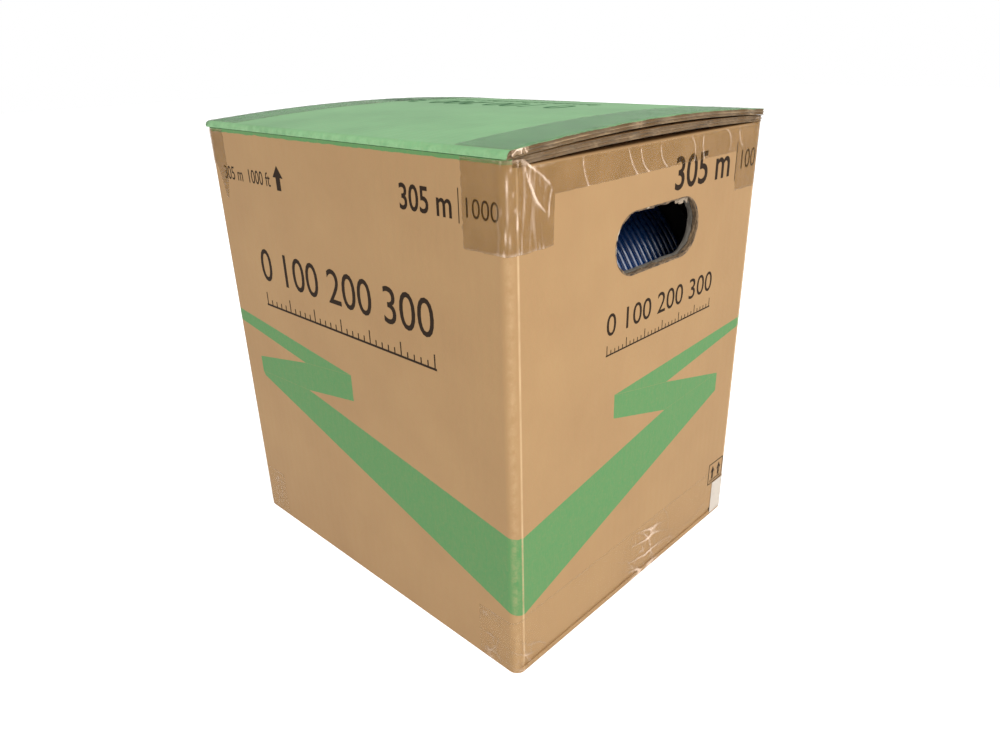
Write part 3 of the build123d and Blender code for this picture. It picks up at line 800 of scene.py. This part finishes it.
# Clear film: clear is how much it tints what lies below, and the last value is its milkiness and painted
# highlight along a crease
def tapeMaterial(name, tint, clear, hazeGlint):
    material, t, shader = newMaterial(name, 0.3, **{"Specular IOR Level": 0.25})
    hazeAndGlint = t.attribute("hazeAndGlint")
    place = t.place()
    cloudy = t.spread(t.noise(place, 45.0, 3.0, 0.6), 0.4, 0.75, 0.0, 0.6 * clear)
    # Whitened creases and edges: milky haze and painted highlight
    t.put(t.mix(t.spread(hazeAndGlint, 0.05, 0.4), tint, linear(242, 216, 192)), shader["Base Color"])
    t.put(t.math("ADD", t.spread(hazeAndGlint, 0.0, 1.0, clear, hazeGlint), cloudy), shader["Alpha"])
    t.put(t.bump(t.noise(place, 60.0, 2.0), 0.0005, 0.3), shader["Normal"])
    return material


# The last value of each is the milkiness and painted highlight of its creases
tapeLooks = {  # tint, clear, haze
    "upper": (linear(112, 76, 0), 0.12, 0.7),
    "lower": (linear(150, 120, 80), 0.004, 0.7),
    "top": (linear(20, 72, 30), 0.11, 0.7),
}
upperTape = tapeMaterial("upperTape", *tapeLooks["upper"])
lowerTape = tapeMaterial("lowerTape", *tapeLooks["lower"])
topFilm = tapeMaterial("topTape", *tapeLooks["top"])
for piece in tapes:
    dress(piece, lowerTape if "Lower" in piece.name else topFilm if "Top" in piece.name else upperTape)
paint(upperTape, "tape_back", "tape_side_right", "tape_side_left", "tape_bottom_right", "tape_bottom_left",
      "tape_bottom_back", "tape_top_right", "tape_top_left", "tape_top_back")
print("tape laid")

# Printed marks: thin ink plates over each face
inkPlate = {"low": 0.015, "high": 0.09}  # mm over the face


# Numbers as a mesh of the given height, with its lower left corner at zero and its doubles merged
def textShape(words, height, bold=0.0):
    curve = bpy.data.curves.new("marks", "FONT")
    curve.body = words
    curve.extrude = 0.01
    curve.offset = bold
    curve.resolution_u = 4
    holder = bpy.data.objects.new("marks", curve)
    bpy.context.collection.objects.link(holder)
    mesh = bpy.data.meshes.new_from_object(holder.evaluated_get(bpy.context.evaluated_depsgraph_get()))
    co = np.empty(len(mesh.vertices) * 3, dtype=np.float32)
    mesh.vertices.foreach_get("co", co)
    faces = [list(p.vertices) for p in mesh.polygons]
    bpy.data.objects.remove(holder)
    bpy.data.curves.remove(curve)
    bpy.data.meshes.remove(mesh)
    co = co.reshape(-1, 3).astype(float)
    co[:, :2] -= co[:, :2].min(0)
    co[:, :2] *= height / co[:, 1].max()
    co[:, 2] = np.where(co[:, 2] > 0, inkPlate["high"], inkPlate["low"])
    _, first, same = np.unique(np.round(co, 4), axis=0, return_index=True, return_inverse=True)
    same = same.ravel()
    joined = [list(dict.fromkeys(int(same[i]) for i in face)) for face in faces]
    return co[first], [face for face in joined if len(face) > 2]


# A flat polygon, anticlockwise, given the ink's thickness
def plateShape(outlinePoints):
    corners = np.array(outlinePoints, float)
    n = len(corners)
    low, high = np.full(n, inkPlate["low"]), np.full(n, inkPlate["high"])
    points = np.concatenate([np.c_[corners, low], np.c_[corners, high]])
    ring = np.arange(n)
    following = np.roll(ring, -1)
    sides = np.stack([ring, following, following + n, ring + n], -1).tolist()
    return points, [ring[::-1].tolist(), (ring + n).tolist()] + sides


# An upright rectangle between two corners
def bar(x0, y0, x1, y1):
    return plateShape([(x0, y0), (x1, y0), (x1, y1), (x0, y1)])


# An arrow that stands on (x, y), with a shaft and a pointed head
def upArrow(x, y, width, height):
    shaft, neck = width * 0.21, y + height * 0.52
    return plateShape([(x - shaft, y), (x + shaft, y), (x + shaft, neck), (x + width / 2, neck),
                       (x, y + height), (x - width / 2, neck), (x - shaft, neck)])


# A shape scaled across and then shifted
def moved(shape, dx, dy, scaleX):
    points, faces = shape
    return points * [scaleX, 1, 1] + [dx, dy, 0], faces


# Numbers scaled to fill a rectangle
def fitted(words, x0, x1, y0, y1, bold=0.0):
    points, faces = textShape(words, y1 - y0, bold)
    return moved((points, faces), x0, y0, (x1 - x0) / points[:, 0].max())


scaleTicks = 30


# Plain numbers over a ruler of ticks, every fifth one long
def metreScale(x0, x1, numbersLow, numbersHigh, lineLow, lineHigh, weight):
    shapes = [fitted("0 100 200 300", x0, x1, numbersLow, numbersHigh)]
    shapes.append(bar(x0, lineLow, x1, lineLow + weight))
    for k in range(scaleTicks + 1):
        x = x0 + weight + (x1 - x0 - 2 * weight) * k / scaleTicks
        top = lineHigh if k % 5 == 0 else lineLow + 0.5 * (lineHigh - lineLow)
        shapes.append(bar(x - weight / 3, lineLow + weight, x + weight / 3, top))
    return shapes


# Shapes joined into one piece; toFace lays their flat points on a wall
def inkPiece(name, shapes, toFace, body, material):
    points, faces, start = [], [], 0
    for p, f in shapes:
        points.append(p)
        faces += [[i + start for i in face] for face in f]
        start += len(p)
    piece = meshPiece(name, toFace(np.concatenate(points)), faces, body, (), False)
    return dress(piece, material)


# Ink that is worn through in fine specks; wear is (from, to, most)
def inkMaterial(name, roughness, gloss, full, thin, wear):
    material, t, shader = newMaterial(name, roughness, **{"Specular IOR Level": gloss})
    place = t.place()
    worn = t.spread(t.noise(place, 650.0, 3.0, 0.7), wear[0], wear[1], 0.0, wear[2])
    t.put(t.mix(worn, full, thin), shader["Base Color"])
    t.put(t.bump(t.noise(place, 900.0, 2.0), 0.0002, 0.3), shader["Normal"])
    return material


darkInk = inkMaterial("darkInk", 0.75, 0.12, linear(34, 21, 8), linear(74, 56, 34), (0.6, 0.85, 0.25))
deepGreenInk = inkMaterial("deepGreenInk", 0.7, 0.15, linear(44, 92, 52), linear(84, 128, 82),
                           (0.5, 0.8, 0.5))

# Shapes on each face, in mm across from its middle and up from the base
frontShapes = [
    fitted("305 m  1000 ft", -134.5, -71, 290.5, 300),
    upArrow(-60.5, 289, 12.5, 16.5),
    fitted("305 m", 68.5, 111.5, 292.6, 307.6, 0.012),
    bar(116.6, 291, 117.2, 309.5),
    fitted("1000", 122.5, 146, 294.8, 305.2),
    *metreScale(-101, 91.5, 219, 243.5, 199, 209.5, 1.5),
]
inkPiece("printFront", frontShapes, lambda p: np.c_[p[:, 0], -halfDepth - p[:, 2], p[:, 1]],
         "carton", darkInk)
rightShapes = [
    fitted("305 m", 19.5, 88.5, 289, 310, 0.012),
    bar(97, 284.5, 97.7, 311),
    fitted("100", 104.5, 125, 292, 305),
    *metreScale(-47.8, 77.8, 210.5, 225, 197.5, 204.5, 1.0),
    bar(103, 32.5, 126, 33.4),  # a small frame with two arrows on a line
    bar(103, 51.4, 126, 52.3),
    bar(103, 33.4, 103.9, 51.4),
    bar(125.1, 33.4, 126, 51.4),
    upArrow(109.6, 37, 6, 12),
    upArrow(119.4, 37, 6, 12),
    bar(106, 35, 123, 35.9),
]
inkPiece("printRight", rightShapes, lambda p: np.c_[halfLength + p[:, 2], p[:, 0], p[:, 1]],
         "carton", darkInk)
topShapes = metreScale(-98, 98, 2, 33, -21, -8, 1.6)
topPrint = {"x": -44, "y": 52}  # where the shapes' zero lies on the flap


# The top is read from the back, so both directions are turned round
def toTop(p):
    x, y = topPrint["x"] - p[:, 0], topPrint["y"] - p[:, 1]
    return np.c_[x, y, topFold + rise(y) + p[:, 2]]


inkPiece("printTop", topShapes, toTop, "opening_flap", deepGreenInk)
print("marks printed")


# Colour mixed by a noise (scale, dark, light), bump from a second (scale, detail, distance, strength), and
# roughness from a third where it is given (scale, low, high)
def speckled(name, roughness, colours, bumps, gloss=None, **settings):
    material, t, shader = newMaterial(name, roughness, **settings)
    place = t.place()
    t.put(t.mix(t.noise(place, colours[0], 3.0), colours[1], colours[2]), shader["Base Color"])
    if gloss:
        t.put(t.spread(t.noise(place, gloss[0], 3.0), 0.3, 0.7, gloss[1], gloss[2]), shader["Roughness"])
    t.put(t.bump(t.noise(place, bumps[0], bumps[1]), bumps[2], bumps[3]), shader["Normal"])
    return material


# Hand holes: torn board inside each rim
hole = {"width": 93.0, "height": 39.0, "y": 5.0, "z": topFold - 66.0, "around": 420}


# Points and outward directions round a slot with round ends, evenly spaced
def stadium(count):
    r, straight = hole["height"] / 2, hole["width"] - hole["height"]
    total = 2 * straight + 2 * math.pi * r
    s = np.linspace(0, total, count, endpoint=False)
    arc = math.pi * r
    a1 = np.clip(s - straight, 0, arc) / r
    a2 = np.clip(s - 2 * straight - arc, 0, arc) / r
    where = [s < straight, s < straight + arc, s < 2 * straight + arc]
    ny = np.select(where, [0 * s, np.sin(a1), 0 * s], -np.sin(a2))
    nz = np.select(where, [-1 + 0 * s, -np.cos(a1), 1 + 0 * s], np.cos(a2))
    half = straight / 2
    py = np.select(where, [s - half, half + 0 * s, half - (s - straight - arc)], -half)
    return hole["y"] + py + ny * r, hole["z"] + nz * r, ny, nz


# A closed band round the hole: its section hugs the board's edge and is pushed into the hole by noise
def tornRim(name, side, xOut, xIn, seed, lip, tear):
    y, z, ny, nz = stadium(hole["around"])
    depth = np.array([0.0, 0.0, 0.16, 0.33, 0.5, 0.67, 0.84, 1.0, 1.0, 0.5])
    outward = np.array([lip, 0.0, -0.35, -0.2, -0.45, -0.2, -0.4, -0.15, 0.5, 0.8])
    proud = np.array([0.12, 0.16, 0, 0, 0, 0, 0, 0, 0, 0])
    rag = waves(seed, y[:, None], z[:, None], depth[None, :] * 8, reach=5)
    torn = np.clip(waves(seed + 1, y[:, None], z[:, None], reach=17), 0, 1)
    inwards = np.where((outward <= 0)[None, :], tear * (0.25 + 0.35 * rag + 0.9 * torn), 0)
    out = outward[None, :] - np.clip(inwards, 0, 1.6)
    x = xOut + (xIn - xOut) * depth[None, :] + proud[None, :] * np.sign(xOut) * (1 + 0.6 * rag)
    points = np.stack([x + 0 * out, y[:, None] + ny[:, None] * out, z[:, None] + nz[:, None] * out], -1)
    rows, columns = out.shape
    grid = np.arange(rows * columns).reshape(rows, columns)
    nextRow, nextColumn = np.roll(grid, -1, 0), np.roll(grid, -1, 1)
    faces = np.stack([grid, nextColumn, np.roll(nextRow, -1, 1), nextRow], -1).reshape(-1, 4)
    if side > 0:
        faces = faces[:, ::-1]
    return meshPiece(name, points.reshape(-1, 3), faces, "carton")


tornBoard, t, shader = newMaterial("tornBoard", 0.9)
place = t.place()
layers = t.noise(t.stretched(place, (6.0, 0.6, 0.6)), 260.0, 3.0, 0.7)
tone = t.mix(t.spread(layers, 0.35, 0.65), linear(38, 29, 20), linear(124, 100, 72))
pulp = t.spread(t.noise(place, 60.0, 3.0), 0.62, 0.7)
tone = t.mix(t.math("MULTIPLY", pulp, 0.6), tone, linear(190, 176, 156))
t.put(tone, shader["Base Color"])
t.put(t.bump(t.noise(place, 500.0, 4.0, 0.7), 0.0006, 0.7), shader["Normal"])
greyBoard, t, shader = newMaterial("greyBoard", 0.85)
place = t.place()
layers = t.noise(t.stretched(place, (5.0, 0.6, 0.6)), 300.0, 3.0)
t.put(t.mix(layers, linear(56, 52, 46), linear(116, 109, 98)), shader["Base Color"])
t.put(t.bump(t.noise(place, 500.0, 3.0), 0.0004, 0.5), shader["Normal"])
for side, name in ((1, "Right"), (-1, "Left")):
    wallFace, wallBack = side * halfLength, side * (halfLength - boardThick)
    linerFace, linerBack = side * (halfLength - boardThick - 0.3), side * (halfLength - 2 * boardThick)
    dress(tornRim("holeRim" + name, side, wallFace, wallBack, 301 + side, 0.35, 1.0), tornBoard)
    dress(tornRim("linerRim" + name, side, linerFace, linerBack, 311 + side, 0.3, 0.5), greyBoard)
# A shred of the paper liner that still hangs from the top of the hole in the right end
y = hole["y"] + np.linspace(17, 34, 36)[:, None]
v = np.linspace(0, 1, 12)[None, :]
drop = (2.6 + 1.6 * waves(331, y, reach=9)) * smooth(0, 3, y - y[0]) * smooth(0, 3, y[-1] - y) + 0.5
corner = np.clip(y - hole["y"] - (hole["width"] - hole["height"]) / 2, 0, None)
z = hole["z"] + np.sqrt((hole["height"] / 2) ** 2 - corner ** 2) - 0.3 - v * drop
x = halfLength - 1.2 + 0.9 * v * waves(332, y, v * 3, reach=6)
face = np.stack([x, y + 0 * v, z], -1)
points, faces = closedSheet(face[::-1], face[::-1] - np.array([0.25, 0, 0]))
shred = meshPiece("holeShred", points, faces, "carton")
dress(shred, speckled("pulpPaper", 0.9, (400.0, linear(104, 90, 74), linear(158, 142, 122)),
                      (700.0, 3.0, 0.0003, 0.5)))
print("hand holes torn")

# Label, reel and fittings
label, t, shader = newMaterial("labelPaper", 0.7)
place = t.place()
smudge = t.spread(t.noise(place, 70.0, 4.0, 0.6), 0.5, 0.75, 0.0, 0.5)
t.put(t.mix(smudge, linear(176, 166, 154), linear(112, 100, 86)), shader["Base Color"])
t.put(t.bump(t.noise(place, 300.0, 3.0), 0.0003, 0.4), shader["Normal"])
paint(label, "corner_label")
blackPlastic = speckled("reelPlastic", 0.45, (50.0, (0.014, 0.014, 0.015, 1), (0.03, 0.03, 0.032, 1)),
                        (1400.0, 2.0, 0.0002, 0.35), (30.0, 0.38, 0.55))
paint(blackPlastic, "reel_flange_front", "reel_flange_back", "reel_drum")
greyPlastic = speckled("fittingPlastic", 0.4, (60.0, linear(176, 176, 172), linear(198, 198, 194)),
                       (1200.0, 2.0, 0.0002, 0.3))
paint(greyPlastic, "axle_bushing_front", "axle_bushing_back", "payout_ring")
paperTube, t, shader = newMaterial("axleTube", 0.8)
place = t.place()
x, y, z = t.axes(place)
spiral = t.math("SINE", t.math("MULTIPLY_ADD", t.math("ARCTAN2", z, x), 1.0, t.math("MULTIPLY", y, 120.0)))
t.put(t.mix(t.spread(spiral, 0.9, 1.0), linear(196, 176, 146), linear(150, 130, 104)), shader["Base Color"])
t.put(t.bump(t.noise(place, 700.0, 3.0), 0.0003, 0.4), shader["Normal"])
paint(paperTube, "axle")
zinc = speckled("zincSteel", 0.35, (300.0, (0.5, 0.5, 0.5, 1), (0.66, 0.66, 0.64, 1)),
                (900.0, 2.0, 0.0001, 0.3), (200.0, 0.28, 0.45), Metallic=1.0)
paint(zinc, "reel_tie_rods", "reel_tie_nuts")
print("inner parts painted")

# Camera, lights and floor: tilt, roll and heading are degrees about x, y and z, in that order
camera = bpy.data.objects.new("camera", bpy.data.cameras.new("camera"))
bpy.context.collection.objects.link(camera)
view = {
    "lens": 26.84,
    "at": (0.4022, -0.3964, 0.3769),
    "tilt": 66.46,
    "roll": 1.42,
    "heading": 43.77,
}
camera.data.lens = view["lens"]
camera.data.clip_start = 0.01
facing = Euler([math.radians(view[name]) for name in ("tilt", "roll", "heading")])
camera.matrix_world = Matrix.Translation(view["at"]) @ facing.to_matrix().to_4x4()
bpy.context.scene.camera = camera
bpy.context.scene.view_settings.view_transform = "Standard"

lamps = {
    "key": {"at": (1.5, -0.5, 1.5), "size": 1.2, "watts": 35},
    "fill": {"at": (-1.4, -1.9, 1.3), "size": 1.6, "watts": 3},
    "sky": 1.0,
}
for name in ("key", "fill"):
    data = bpy.data.lights.new(name, "AREA")
    data.size = lamps[name]["size"]
    data.energy = lamps[name]["watts"]
    lamp = bpy.data.objects.new(name, data)
    bpy.context.collection.objects.link(lamp)
    lamp.location = lamps[name]["at"]
    lamp.rotation_euler = (-lamp.location).to_track_quat("-Z", "Y").to_euler()
world = bpy.data.worlds.new("studio")
bpy.context.scene.world = world
world.use_nodes = True
background = world.node_tree.nodes["Background"]
background.inputs["Color"].default_value = (1.0, 1.0, 1.0, 1.0)
background.inputs["Strength"].default_value = lamps["sky"]

floorMesh = bpy.data.meshes.new("floor")
floorMesh.from_pydata([(-6, -6, 0), (6, -6, 0), (6, 6, 0), (-6, 6, 0)], [], [(0, 1, 2, 3)])
floor = bpy.data.objects.new("floor", floorMesh)
bpy.context.collection.objects.link(floor)
pale, t, shader = newMaterial("paleFloor", 0.9)
shader["Base Color"].default_value = (0.86, 0.86, 0.86, 1)
shader["Emission Color"].default_value = (1, 1, 1, 1)
shader["Emission Strength"].default_value = 0.4
floorMesh.materials.append(pale)
print("stage set")
